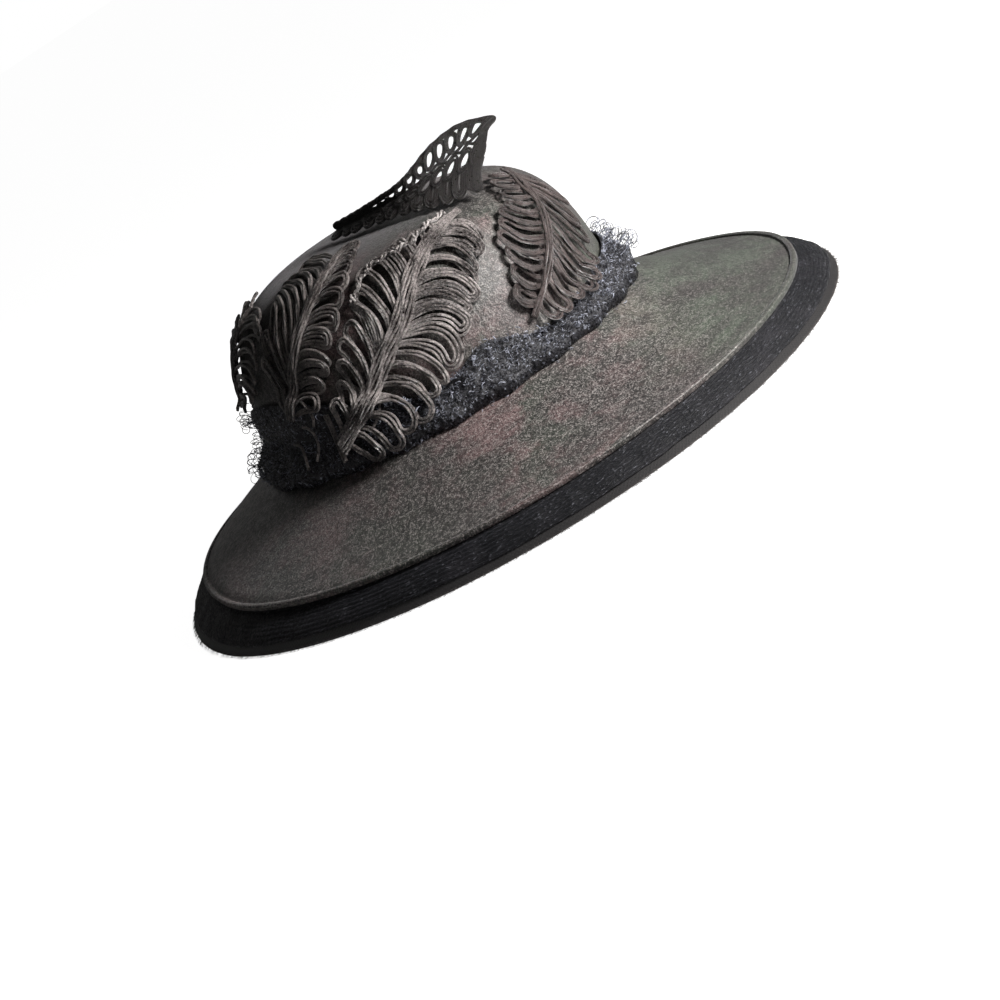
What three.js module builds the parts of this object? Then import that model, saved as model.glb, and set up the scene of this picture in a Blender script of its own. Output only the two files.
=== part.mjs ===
// A wide tilt hat: an oval blocked crown, a bell-shaped brim with a rolled rim, a deep ribbon
// edge with a sheer braid hem, a gathered net band and five looped-cord leaves.
// Millimetres, +Z up, the front of the hat towards -Y, the brim's hem resting on Z = 0.
import * as THREE from "three";

// Driving sizes
const crown = {
  halfWidth: 90, // outside, across the head
  halfLength: 97, // outside, front to back
  height: 79,
  setBack: 12, // the crown stands this far behind the middle of the brim
  foot: 45.5, // height of the crown's foot
  wall: 1.8,
  planPower: 4.5, // how square the wall stands
  capPower: 2.9, // how flat the top is
  seat: 0.4, // gap between the crown's foot and the brim
};
const brim = {
  halfWidth: 160.5, // out to the rolled rim
  halfLength: 166.5,
  rimHeight: 13,
  wall: 1.6,
  rollHeight: 2.4, // the rolled rim stands this far over the cloth
};
const edge = {
  tuck: 2.2, // the ribbon starts this far inside the rim
  drop: 1.3, // and this far under it
  ribbonWall: 1.2,
  braidWall: 1.4,
  ribbonEnd: 0.79, // share of the edge's width that is ribbon
  braidStart: 0.81,
};
const net = {
  gap: 0.6,
  flap: 1.8, // how thick the net is where it lies flat on the crown
  rollHeight: 16, // most height of the gathered roll at its foot
  gathers: 23,
  gatherDepth: 0.8,
  around: 60,
};
const middle = 3.2; // the hem reaches less far on the wearer's left, so the hat stands this far over
const leafPlate = { lift: 1.4, thick: 1.9, ribHalfWidth: 3.4, ribRise: 1.6, slant: 0.45 };

const around = 60; // facets round the brim
const aroundCrown = 48; // facets round the crown

// How the brim changes round the hat. Azimuth 0 is the wearer's left, 90 the back, 270 the front.
const brimRows = [
  { azimuth: 0, rimLift: 1.0, reach: 9.5, hemLift: 0, fall: 1.22 },
  { azimuth: 30, rimLift: 3.8, reach: 10, hemLift: 0, fall: 1.12 },
  { azimuth: 65, rimLift: 6.2, reach: 13, hemLift: 3.2, fall: 0.98 },
  { azimuth: 100, rimLift: 7.0, reach: 16, hemLift: 5.2, fall: 0.88 },
  { azimuth: 135, rimLift: 5.0, reach: 17, hemLift: 2.8, fall: 0.9 },
  { azimuth: 165, rimLift: 1.2, reach: 16.5, hemLift: 0, fall: 1.02 },
  { azimuth: 215, rimLift: 0, reach: 15.5, hemLift: 0, fall: 1.32 },
  { azimuth: 270, rimLift: 0, reach: 15.5, hemLift: 0, fall: 1.52 },
  { azimuth: 320, rimLift: 0, reach: 13.5, hemLift: 0, fall: 1.45 },
];

// The net band's height above the crown's foot, and how far it stands out, round the crown.
const netRows = [
  { azimuth: 0, rise: 18, bulk: 8.5 },
  { azimuth: 45, rise: 18, bulk: 7.5 },
  { azimuth: 95, rise: 20, bulk: 7.5 },
  { azimuth: 135, rise: 30, bulk: 10.5 },
  { azimuth: 164, rise: 37, bulk: 12 },
  { azimuth: 184, rise: 33, bulk: 9.5 },
  { azimuth: 205, rise: 22, bulk: 8.5 },
  { azimuth: 223, rise: 13, bulk: 8.5 },
  { azimuth: 240, rise: 21, bulk: 8.5 },
  { azimuth: 257, rise: 10, bulk: 8 },
  { azimuth: 285, rise: 14, bulk: 8.5 },
  { azimuth: 309, rise: 17, bulk: 9.5 },
  { azimuth: 335, rise: 18, bulk: 9 },
];

// Leaves that lie on the crown. Each rib runs from stem to tip through its places, as azimuth and
// rise from 0 at the crown's foot to 1 at its top. Plus and minus are the widths of the leaf's two
// halves, at shares of the way along the rib. Lift is what a leaf has over the others.
const lyingLeaves = [
  {
    name: "leaf_front_right",
    loops: 10,
    cord: 2.1,
    lift: 0.1,
    rib: [
      { azimuth: 194, rise: 0.05 },
      { azimuth: 206, rise: 0.145 },
      { azimuth: 216.5, rise: 0.265 },
      { azimuth: 230, rise: 0.427 },
      { azimuth: 241, rise: 0.54 },
      { azimuth: 264, rise: 0.617 },
    ],
    widths: [
      { along: 0, plus: 17, minus: 12 },
      { along: 0.12, plus: 25, minus: 16 },
      { along: 0.3, plus: 28, minus: 20.5 },
      { along: 0.45, plus: 28.5, minus: 24 },
      { along: 0.6, plus: 28.5, minus: 20.5 },
      { along: 0.72, plus: 26, minus: 13.5 },
      { along: 0.85, plus: 20, minus: 9 },
      { along: 1, plus: 9, minus: 6 },
    ],
  },
  {
    name: "leaf_right",
    loops: 8,
    cord: 2.1,
    lift: 0,
    rib: [
      { azimuth: 181, rise: 0.25 },
      { azimuth: 188.5, rise: 0.418 },
      { azimuth: 195.5, rise: 0.569 },
      { azimuth: 201.5, rise: 0.714 },
      { azimuth: 208, rise: 0.86 },
    ],
    widths: [
      { along: 0, plus: 14, minus: 14 },
      { along: 0.25, plus: 19, minus: 22 },
      { along: 0.5, plus: 18.5, minus: 20 },
      { along: 0.75, plus: 12, minus: 17 },
      { along: 1, plus: 6, minus: 9 },
    ],
  },
  {
    name: "leaf_back_right",
    loops: 7,
    cord: 2.1,
    lift: 0,
    rib: [
      { azimuth: 142, rise: 0.24 },
      { azimuth: 145, rise: 0.38 },
      { azimuth: 148, rise: 0.54 },
      { azimuth: 151, rise: 0.74 },
    ],
    widths: [
      { along: 0, plus: 15, minus: 15 },
      { along: 0.3, plus: 24, minus: 24 },
      { along: 0.6, plus: 23, minus: 23 },
      { along: 1, plus: 8, minus: 8 },
    ],
  },
  {
    name: "leaf_front_left",
    loops: 9,
    cord: 2.1,
    lift: 0.5,
    rib: [
      { azimuth: 283, rise: 0.545 },
      { azimuth: 277, rise: 0.405 },
      { azimuth: 274.3, rise: 0.271 },
      { azimuth: 270.5, rise: 0.181 },
      { azimuth: 264, rise: 0.133 },
      { azimuth: 254, rise: 0.058 },
    ],
    widths: [
      { along: 0, plus: 9, minus: 21 },
      { along: 0.2, plus: 17, minus: 33 },
      { along: 0.37, plus: 20, minus: 31 },
      { along: 0.52, plus: 21, minus: 22 },
      { along: 0.7, plus: 19, minus: 15 },
      { along: 0.87, plus: 12, minus: 9 },
      { along: 1, plus: 6, minus: 6 },
    ],
  },
];

// The leaf that stands up on the crown like a crest. Its rib runs through x, y and z, its upper
// half stands this high over the rib, and its lower half comes down to the crown at the foot.
const crest = {
  name: "leaf_crest",
  loops: 12,
  cord: 1.5,
  widths: [
    { along: 0, plus: 12, minus: 18 },
    { along: 1, plus: 12, minus: 18 },
  ],
  rows: [
    { x: -3, y: 25, z: 128, over: 4, footX: -11, footY: 25 },
    { x: -4.5, y: -5, z: 130.4, over: 5, footX: -14, footY: -6 },
    { x: -1.5, y: -32, z: 133, over: 6.5, footX: -12, footY: -34 },
    { x: 8.5, y: -50, z: 137, over: 10.5, footX: -6, footY: -54 },
    { x: 18.5, y: -63, z: 139.4, over: 12, footX: 6, footY: -66, footOver: 3.5 },
    { x: 28, y: -75, z: 140.4, over: 7, footX: 22, footY: -75.5, footOver: 12 },
  ],
};

const radians = THREE.MathUtils.degToRad;

// Reads a column of a table that goes round the hat, smoothly between its rows.
function roundTable(rows, column, azimuth) {
  const turn = 360;
  const here = ((azimuth % turn) + turn) % turn;
  const count = rows.length;
  let next = rows.findIndex((row) => row.azimuth > here);
  if (next < 0) next = count;
  const row = (i) => {
    const lap = Math.floor(i / count);
    const source = rows[i - lap * count];
    return { at: source.azimuth + lap * turn, value: source[column] };
  };
  const [a, b, c, d] = [row(next - 2), row(next - 1), row(next), row(next + 1)];
  const span = c.at - b.at;
  const share = (here - b.at) / span;
  const slopeB = ((c.value - a.value) / (c.at - a.at)) * span;
  const slopeC = ((d.value - b.value) / (d.at - b.at)) * span;
  const [s2, s3] = [share * share, share * share * share];
  return (
    (2 * s3 - 3 * s2 + 1) * b.value +
    (s3 - 2 * s2 + share) * slopeB +
    (3 * s2 - 2 * s3) * c.value +
    (s3 - s2) * slopeC
  );
}

// Reads a leaf's width on one side of its rib, eased between the rows.
function widthAt(rows, along, side) {
  const i = Math.max(1, rows.findIndex((row) => row.along >= along));
  const [low, high] = [rows[i - 1], rows[i]];
  return THREE.MathUtils.lerp(
    low[side],
    high[side],
    THREE.MathUtils.smoothstep(along, low.along, high.along),
  );
}

// Moves every vertex of a geometry by a function, and drops what no longer fits.
function reshape(geometry, move) {
  const place = geometry.getAttribute("position");
  const vertex = new THREE.Vector3();
  for (let i = 0; i < place.count; i++) {
    vertex.fromBufferAttribute(place, i);
    const moved = move(vertex);
    place.setXYZ(i, moved.x, moved.y, moved.z);
  }
  geometry.deleteAttribute("uv");
  geometry.computeVertexNormals();
  return geometry;
}

// A ring or dome that follows a surface: its profile is given as across and out, and the surface
// function turns azimuth, across and out into a place.
function ringOn(profile, segments, surface) {
  const flat = profile.map(([across, out]) => new THREE.Vector2(across, out));
  return reshape(new THREE.LatheGeometry(flat, segments), (vertex) => {
    const azimuth = THREE.MathUtils.radToDeg(Math.atan2(vertex.z, vertex.x));
    return surface(azimuth, Math.hypot(vertex.x, vertex.z), vertex.y);
  });
}

// A point off a sheet, along the sheet's own normal.
function offSheet(sheet, azimuth, across, out) {
  const step = 0.002;
  const here = sheet(azimuth, across);
  const outward = sheet(azimuth, across + step).sub(sheet(azimuth, across - step));
  const onward = sheet(azimuth + 1, across).sub(sheet(azimuth - 1, across));
  return here.addScaledVector(outward.cross(onward).normalize(), out);
}

// Crown: a dome on an oval, square in the wall and flat at the top.
function crownPoint(azimuth, rise, inset = 0) {
  const turn = radians(azimuth);
  const share = (THREE.MathUtils.clamp(rise, 0, 1) * Math.PI) / 2;
  const out = Math.max(Math.cos(share), 0) ** (2 / crown.planPower);
  const up = Math.sin(share) ** (2 / crown.capPower);
  return new THREE.Vector3(
    (crown.halfWidth - inset) * out * Math.cos(turn),
    crown.setBack + (crown.halfLength - inset) * out * Math.sin(turn),
    crown.foot + (crown.height - inset) * up,
  );
}

// The point of the crown's outside that lies towards a given point, lifted off the cloth.
function ontoCrown(point, lift) {
  const x = point.x / crown.halfWidth;
  const y = (point.y - crown.setBack) / crown.halfLength;
  const z = Math.max(point.z - crown.foot, 0) / crown.height;
  const flat = Math.hypot(x, y);
  let [low, high] = [0.2, 5];
  for (let i = 0; i < 40; i++) {
    const scale = (low + high) / 2;
    const depth = (scale * flat) ** crown.planPower + (scale * z) ** crown.capPower;
    if (depth > 1) high = scale;
    else low = scale;
  }
  const plan = crown.planPower * (low * flat) ** (crown.planPower - 2) * low;
  const normal = new THREE.Vector3(
    (plan * x) / crown.halfWidth,
    (plan * y) / crown.halfLength,
    (crown.capPower * (low * z) ** (crown.capPower - 1)) / crown.height,
  ).normalize();
  const onCloth = new THREE.Vector3(
    low * x * crown.halfWidth,
    crown.setBack + low * y * crown.halfLength,
    point.z < crown.foot ? point.z : crown.foot + low * z * crown.height,
  );
  return { place: onCloth.addScaledVector(normal, lift), normal };
}

// Brim: from the crown's inside foot down to the rim, steep at first and then flatter.
function rimPoint(azimuth) {
  const turn = radians(azimuth);
  return new THREE.Vector3(
    brim.halfWidth * Math.cos(turn),
    brim.halfLength * Math.sin(turn),
    brim.rimHeight + roundTable(brimRows, "rimLift", azimuth),
  );
}

function brimSheet(azimuth, across) {
  const foot = crownPoint(azimuth, 0, crown.wall);
  const rim = rimPoint(azimuth);
  const drop = Math.max(1 - across, 0) ** roundTable(brimRows, "fall", azimuth);
  const place = foot.clone().lerp(rim, across);
  place.z = rim.z + (foot.z - rim.z) * drop;
  return place;
}

// Edge: the sheet of the ribbon and braid, from under the rim down to the hem.
function edgeSheet(azimuth, across) {
  const rim = rimPoint(azimuth);
  const turn = radians(azimuth);
  const outward = new THREE.Vector3(Math.cos(turn), Math.sin(turn), 0);
  const top = rim.clone().addScaledVector(outward, -edge.tuck);
  top.z -= edge.drop;
  const hem = rim.clone().addScaledVector(outward, roundTable(brimRows, "reach", azimuth));
  hem.z = Math.max(roundTable(brimRows, "hemLift", azimuth), 0);
  const bow = 1.1 * Math.sin(Math.PI * across);
  const place = top.lerp(hem, across);
  place.addScaledVector(outward, bow);
  place.z += bow;
  return place;
}

function makeCrown() {
  const rises = [0, 0.09, 0.18, 0.28, 0.38, 0.5, 0.63, 0.77, 0.9];
  const inside = rises.filter((_, i) => i !== 1).map((rise) => [1 - rise, -crown.wall]);
  const outside = rises.map((rise) => [1 - rise, 0]).reverse();
  const profile = [...inside, [0, -crown.wall], [0, 0], ...outside, inside[0]];
  return ringOn(profile, aroundCrown, (azimuth, across, out) => {
    const place = crownPoint(azimuth, 1 - across, -out);
    if (across > 0.999) place.z += crown.seat + brim.wall;
    return place;
  });
}

function makeBrim() {
  const steps = [0, 0.07, 0.18, 0.32, 0.5, 0.72];
  const under = [...steps, 1].map((across) => [1 + across, 0]);
  const over = steps.map((across) => [1 + across, brim.wall]).reverse();
  const roll = [
    [2, brim.wall * 0.6],
    [1.99, brim.wall + brim.rollHeight * 0.75],
    [1.972, brim.wall + brim.rollHeight],
    [1.952, brim.wall + brim.rollHeight * 0.6],
    [1.942, brim.wall],
  ];
  const profile = [...under, ...roll, ...over, under[0]];
  return ringOn(profile.reverse(), around, (azimuth, across, out) =>
    offSheet(brimSheet, azimuth, across - 1, out),
  );
}

function makeRibbon() {
  const steps = [0, 0.4, edge.ribbonEnd];
  const under = steps.map((across) => [1 + across, 0]);
  const over = steps.map((across) => [1 + across, edge.ribbonWall]).reverse();
  return ringOn([...under, ...over, under[0]].reverse(), around, (azimuth, across, out) =>
    offSheet(edgeSheet, azimuth, across - 1, out),
  );
}

function makeBraid() {
  const steps = [edge.braidStart, 1];
  const under = steps.map((across) => [1 + across, 0]);
  const over = steps.map((across) => [1 + across, edge.braidWall]).reverse();
  return ringOn([...under, ...over, under[0]].reverse(), around, (azimuth, across, out) => {
    const place = offSheet(edgeSheet, azimuth, across - 1, out);
    if (across > 1.999) place.z = edgeSheet(azimuth, 1).z;
    return place;
  });
}

// How far the net stands off the crown at a height above the crown's foot.
function netStand(azimuth, up) {
  const bulk = roundTable(netRows, "bulk", azimuth);
  const rise = roundTable(netRows, "rise", azimuth);
  const roll = Math.min(rise, net.rollHeight);
  const slack = THREE.MathUtils.smoothstep(up, 0.2 * roll, roll);
  return THREE.MathUtils.lerp(bulk, net.flap, slack);
}

// Net band: a soft gathered roll round the crown's foot, and its flap lying up the crown.
function makeNet() {
  // Share of the roll's or the flap's height, and whether the point is on the net's outside.
  const section = [
    { roll: 0, flap: 0, out: 0 },
    { roll: 0, flap: 0, out: 0.5 },
    { roll: 0.03, flap: 0, out: 0.93 },
    { roll: 0.3, flap: 0, out: 1 },
    { roll: 0.6, flap: 0, out: 1 },
    { roll: 0.95, flap: 0, out: 1 },
    { roll: 1, flap: 0.5, out: 1 },
    { roll: 1, flap: 1, out: 0.8 },
    { roll: 1, flap: 0.96, out: 0 },
    { roll: 1, flap: 0.4, out: 0 },
    { roll: 0.7, flap: 0, out: 0 },
  ];
  const profile = section.map((_, i) => [2, i]).reverse();
  const ring = [...profile, profile[0]];
  return ringOn(ring, net.around, (azimuth, _, index) => {
    const row = section[Math.round(index)];
    const rise = roundTable(netRows, "rise", azimuth);
    const roll = Math.min(rise, net.rollHeight) - 1.5;
    const gather = net.gatherDepth * Math.sin(radians(azimuth) * net.gathers + 3 * row.roll);
    const up = 1.5 + roll * row.roll + (rise - roll - 1.5) * row.flap;
    const onRoll = THREE.MathUtils.clamp(1 - row.flap * 2, 0, 1);
    const stand = row.out * (netStand(azimuth, up) + gather * onRoll);
    const wall = crownWallPoint(azimuth, crown.foot + up);
    const turn = radians(azimuth);
    wall.x += (net.gap + stand) * Math.cos(turn);
    wall.y += (net.gap + stand) * Math.sin(turn);
    if (row.roll < 0.1) wall.z = brimHeightUnder(azimuth, stand) + 1.5 * brim.wall + 1;
    return wall;
  });
}

// The crown's outside at a height, straight out from its axis.
function crownWallPoint(azimuth, z) {
  const up = THREE.MathUtils.clamp((z - crown.foot) / crown.height, 0, 0.999);
  const rise = (Math.asin(up ** (crown.capPower / 2)) * 2) / Math.PI;
  return crownPoint(azimuth, rise);
}

// Height of the brim's cloth at a distance outside the crown's foot.
function brimHeightUnder(azimuth, stand) {
  const target = crown.halfWidth + stand;
  const wide = brim.halfWidth - (crown.halfWidth - crown.wall);
  const across = (target - (crown.halfWidth - crown.wall)) / wide;
  return brimSheet(azimuth, across).z;
}

// The plan of a leaf, x across the rib and y along it: one cell for each cord loop, and in each
// cell the loop's opening.
function leafCells(length, leaf) {
  const pitch = (0.9 * length) / leaf.loops;
  const cells = [];
  for (const side of [1, -1]) {
    const loops = Array.from({ length: leaf.loops }, (_, i) => {
      const root = pitch * (i + 0.3);
      const wide = widthAt(leaf.widths, root / length, side > 0 ? "plus" : "minus");
      const round = Math.min(pitch * 0.5, wide * 0.45);
      const reach = wide - round;
      return { root, round, x: reach, y: root + leafPlate.slant * reach };
    });
    const first = new THREE.Vector2(leafPlate.ribHalfWidth * 0.8, -2);
    const tip = new THREE.Vector2(0, length);
    loops.forEach((loop, i) => {
      const next = loops[i + 1];
      const before = loops[i - 1];
      const from = before ? Math.atan2(before.y - loop.y, before.x - loop.x) : -1.75;
      const to = next ? Math.atan2(next.y - loop.y, next.x - loop.x) : 1.66;
      const rim = [0.1, 0.37, 0.63, 0.9].map((share) => {
        const turn = THREE.MathUtils.lerp(from, to, share);
        return new THREE.Vector2(
          loop.x + loop.round * Math.cos(turn),
          loop.y + loop.round * Math.sin(turn),
        );
      });
      const start = before ? cellCorner(before, loop) : [new THREE.Vector2(0, -2), first];
      const end = next ? cellCorner(loop, next) : [tip];
      const plan = new THREE.Shape(onSide([...start, ...rim, ...end.reverse()], side));
      const opening = loopOpening(loop, leaf.cord);
      if (opening.length > 0) plan.holes.push(new THREE.Path(onSide(opening, side).reverse()));
      cells.push(plan);
    });
  }
  return cells;
}

// Points on one side of the rib or the other, still in the same turning order.
function onSide(points, side) {
  const placed = points.map((p) => new THREE.Vector2(side * p.x, p.y));
  return side > 0 ? placed : placed.reverse();
}

// The line between two neighbouring loops: at the rib, and at the notch between their rims.
function cellCorner(loop, next) {
  const rib = new THREE.Vector2(0, (loop.root + next.root) / 2);
  const notch = new THREE.Vector2((loop.x + next.x) / 2, (loop.y + next.y) / 2);
  return [
    rib,
    rib.clone().lerp(notch, 0.35),
    rib.clone().lerp(notch, 0.7),
    notch,
  ];
}

// The opening inside a cord loop, a drop that is pointed at the rib and round at the rim.
function loopOpening(loop, cordWidth) {
  const open = loop.round - cordWidth;
  const start = leafPlate.ribHalfWidth + 0.8;
  if (open < 0.8 || loop.x < start + open) return [];
  const lean = (loop.y - loop.root) / loop.x;
  const middle = (start + loop.x) / 2;
  const corner = (x, shift) => new THREE.Vector2(x, loop.root + lean * x + shift);
  const rim = [-60, 0, 60].map(
    (angle) =>
      new THREE.Vector2(
        loop.x + open * Math.cos(radians(angle)),
        loop.y + open * Math.sin(radians(angle)),
      ),
  );
  return [corner(start, 0), corner(middle, -open * 0.6), ...rim, corner(middle, open * 0.6)];
}

// Where a rib curve is, and which way it heads, past its ends too.
function alongCurve(curve, length, along) {
  const share = THREE.MathUtils.clamp(along / length, 0, 1);
  const heading = curve.getTangentAt(share);
  const place = curve.getPointAt(share).addScaledVector(heading, along - share * length);
  return { place, heading };
}

// One closed plate from plans that share their borders, bent by a function of across, along and
// lift. Each plan is cut into triangles for both faces, and a wall stands on every open border.
function bentPlate(plans, thick, bend) {
  const corners = [];
  const borders = new Map();
  const key = (p) => `${p.x.toFixed(3)},${p.y.toFixed(3)}`;
  const add = (...points) => corners.push(...points.flatMap((p) => p.toArray()));
  const under = (p) => bend(p.x, p.y, 0);
  const over = (p) => {
    const roof = Math.max(1 - Math.abs(p.x) / leafPlate.ribHalfWidth, 0);
    return bend(p.x, p.y, thick + leafPlate.ribRise * roof);
  };
  for (const plan of plans) {
    const outline = plan.getPoints();
    const openings = plan.holes.map((hole) => hole.getPoints());
    const places = [...outline, ...openings.flat()];
    for (const face of THREE.ShapeUtils.triangulateShape(outline, openings)) {
      const [a, b, c] = face.map((i) => places[i]);
      add(over(a), over(b), over(c), under(a), under(c), under(b));
      for (const [from, to] of [[a, b], [b, c], [c, a]]) {
        const back = `${key(to)}|${key(from)}`;
        if (borders.has(back)) borders.delete(back);
        else borders.set(`${key(from)}|${key(to)}`, [from, to]);
      }
    }
  }
  for (const [from, to] of borders.values()) {
    add(under(from), under(to), over(to), under(from), over(to), over(from));
  }
  const geometry = new THREE.BufferGeometry();
  geometry.setAttribute("position", new THREE.Float32BufferAttribute(corners, 3));
  geometry.computeVertexNormals();
  return geometry;
}

function makeLyingLeaf(leaf) {
  const stations = leaf.rib.map(
    (row) => ontoCrown(crownPoint(row.azimuth, row.rise), leafPlate.lift).place,
  );
  const curve = new THREE.CatmullRomCurve3(stations);
  const length = curve.getLength();
  const cells = leafCells(length, leaf);
  return bentPlate(cells, leafPlate.thick, (across, along, lift) => {
    const { place, heading } = alongCurve(curve, length, along);
    const sideways = heading.cross(ontoCrown(place, 0).normal).normalize();
    place.addScaledVector(sideways, across);
    return ontoCrown(place, leafPlate.lift + leaf.lift + lift + overNet(place)).place;
  });
}

// Extra lift that carries a leaf over the net.
function overNet(point) {
  const azimuth = THREE.MathUtils.radToDeg(Math.atan2(point.y - crown.setBack, point.x));
  const up = Math.max(point.z - crown.foot, 0);
  const rise = roundTable(netRows, "rise", azimuth);
  const clear = THREE.MathUtils.smoothstep(up, rise + 2, rise + 9);
  return (netStand(azimuth, up - 3) + net.gap + 1.6) * (1 - clear);
}

function makeCrest() {
  const rib = crest.rows.map((row) => new THREE.Vector3(row.x, row.y, row.z));
  const top = crest.rows.map((row) => new THREE.Vector3(row.x, row.y, row.z + row.over));
  const foot = crest.rows.map((row) => onCrownTop(row.footX, row.footY, row.footOver ?? 0));
  const [ribCurve, topCurve, footCurve] = [rib, top, foot].map(
    (points) => new THREE.CatmullRomCurve3(points),
  );
  const length = ribCurve.getLength();
  const cells = leafCells(length, crest);
  return bentPlate(cells, leafPlate.thick, (across, along, lift) => {
    const { place, heading } = alongCurve(ribCurve, length, along);
    const t = ribCurve.getUtoTmapping(THREE.MathUtils.clamp(along / length, 0, 1));
    const [over, under] = [topCurve.getPoint(t), footCurve.getPoint(t)];
    const face = over.clone().sub(under).cross(heading).normalize();
    const edge = across > 0 ? over : under;
    const share = across / (across > 0 ? crest.widths[0].plus : -crest.widths[0].minus);
    return place.lerp(edge, share).addScaledVector(face, lift - leafPlate.thick / 2);
  });
}

// A point over the crown's top, clear of the cloth by a leaf's lift and half its thickness.
function onCrownTop(x, y, over) {
  const flat = Math.hypot(x / crown.halfWidth, (y - crown.setBack) / crown.halfLength);
  const room = Math.max(1 - flat ** crown.planPower, 0);
  const top = crown.foot + crown.height * room ** (1 / crown.capPower);
  return new THREE.Vector3(x, y, top + leafPlate.lift + leafPlate.thick / 2 + over);
}

const cloth = new THREE.MeshStandardMaterial({ color: 0x3a3836, roughness: 0.72, metalness: 0 });
const ribbon = new THREE.MeshStandardMaterial({ color: 0x17171a, roughness: 0.6, metalness: 0 });
const braid = new THREE.MeshStandardMaterial({ color: 0x2a2422, roughness: 0.7, metalness: 0 });
const netting = new THREE.MeshStandardMaterial({ color: 0x1b1c22, roughness: 0.8, metalness: 0 });
const cord = new THREE.MeshStandardMaterial({ color: 0x2e2724, roughness: 0.55, metalness: 0 });

function named(name, geometry, material) {
  const mesh = new THREE.Mesh(geometry.translate(middle, 0, 0), material);
  mesh.name = name;
  return mesh;
}

const hat = new THREE.Group();
hat.name = "tilt_hat";
hat.add(named("crown", makeCrown(), cloth));
hat.add(named("brim", makeBrim(), cloth));
hat.add(named("edge_ribbon", makeRibbon(), ribbon));
hat.add(named("edge_braid", makeBraid(), braid));
hat.add(named("net_band", makeNet(), netting));
const leaves = new THREE.Group();
for (const leaf of lyingLeaves) leaves.add(named(leaf.name, makeLyingLeaf(leaf), cord));
leaves.add(named(crest.name, makeCrest(), cord));
hat.add(leaves);

export default hat;
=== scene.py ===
# Wide tilt hat of dark straw cloth: crown, brim, ribbed edge, gathered net and looped-cord leaves.
# Sizes in the tables are millimetres; every object is made in metres.
import math

import bpy
import numpy as np
from mathutils import Matrix, Vector, noise


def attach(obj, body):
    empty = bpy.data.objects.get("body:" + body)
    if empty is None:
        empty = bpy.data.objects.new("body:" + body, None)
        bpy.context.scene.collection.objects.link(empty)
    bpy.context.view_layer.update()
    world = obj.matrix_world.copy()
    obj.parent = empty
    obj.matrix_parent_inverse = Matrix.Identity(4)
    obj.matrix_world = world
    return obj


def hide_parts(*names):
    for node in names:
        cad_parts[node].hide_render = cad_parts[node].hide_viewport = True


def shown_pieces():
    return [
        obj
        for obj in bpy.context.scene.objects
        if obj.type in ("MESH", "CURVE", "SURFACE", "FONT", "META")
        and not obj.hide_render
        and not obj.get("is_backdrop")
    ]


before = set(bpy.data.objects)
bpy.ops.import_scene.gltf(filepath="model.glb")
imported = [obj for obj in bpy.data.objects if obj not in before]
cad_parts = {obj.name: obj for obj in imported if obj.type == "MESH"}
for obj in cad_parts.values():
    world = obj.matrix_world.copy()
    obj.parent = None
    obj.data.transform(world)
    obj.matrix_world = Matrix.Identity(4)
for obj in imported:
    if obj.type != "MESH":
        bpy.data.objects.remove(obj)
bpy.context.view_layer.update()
mm = 0.001
print("hat: frame loaded")


def clearSelection():
    bpy.ops.object.select_all(action="DESELECT")


def pick(piece):
    clearSelection()
    piece.select_set(True)
    bpy.context.view_layer.objects.active = piece


def smoothStep(value, low, high):
    share = np.clip((value - low) / (high - low), 0, 1)
    return share * share * (3 - 2 * share)


# A smooth way from one value to the next, with a slope at each end.
def smoothBetween(share, start, end, startSlope, endSlope):
    s2, s3 = share**2, share**3
    return (
        (2 * s3 - 3 * s2 + 1) * start
        + (s3 - 2 * s2 + share) * startSlope
        + (3 * s2 - 2 * s3) * end
        + (s3 - s2) * endSlope
    )


def unit(vectors):
    return vectors / np.maximum(np.linalg.norm(vectors, axis=-1, keepdims=True), 1e-9)


# The way out from the middle at an azimuth in degrees, level unless it is tipped up.
def outwardAt(azimuth, up=0.0):
    turn = np.radians(azimuth)
    return np.stack([np.cos(turn), np.sin(turn), np.full_like(turn, up)], -1)


# Fine wandering at a wavelength in millimetres, the same on each run.
def wander(points, wavelength, seed=0.0):
    return np.array([noise.noise(Vector(p) / wavelength + Vector((seed, seed, seed))) for p in points])


# A small random difference, up or down.
def stray(rng, spread):
    return spread * rng.uniform(-1, 1)


# A grid primitive wrapped round the hat: place turns azimuth in degrees and a share across into points.
def wrappedSheet(name, sizes, place):
    clearSelection()
    bpy.ops.mesh.primitive_grid_add(x_subdivisions=sizes["around"], y_subdivisions=sizes["rows"], size=1)
    sheet = bpy.context.object
    sheet.name = name
    points = np.empty(len(sheet.data.vertices) * 3)
    sheet.data.vertices.foreach_get("co", points)
    share = points.reshape(-1, 3) + 0.5
    sheet.data.vertices.foreach_set("co", (place(360 * share[:, 0], share[:, 1]) * mm).ravel())
    bpy.ops.object.mode_set(mode="EDIT")
    bpy.ops.mesh.select_all(action="SELECT")
    bpy.ops.mesh.remove_doubles(threshold=1e-5)
    bpy.ops.mesh.normals_make_consistent(inside=False)
    bpy.ops.object.mode_set(mode="OBJECT")
    return sheet


def thicken(sheet, thickness):
    pick(sheet)
    wall = sheet.modifiers.new("wall", "SOLIDIFY")
    wall.thickness = thickness * mm
    wall.offset = -1
    bpy.ops.object.modifier_apply(modifier=wall.name)


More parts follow.
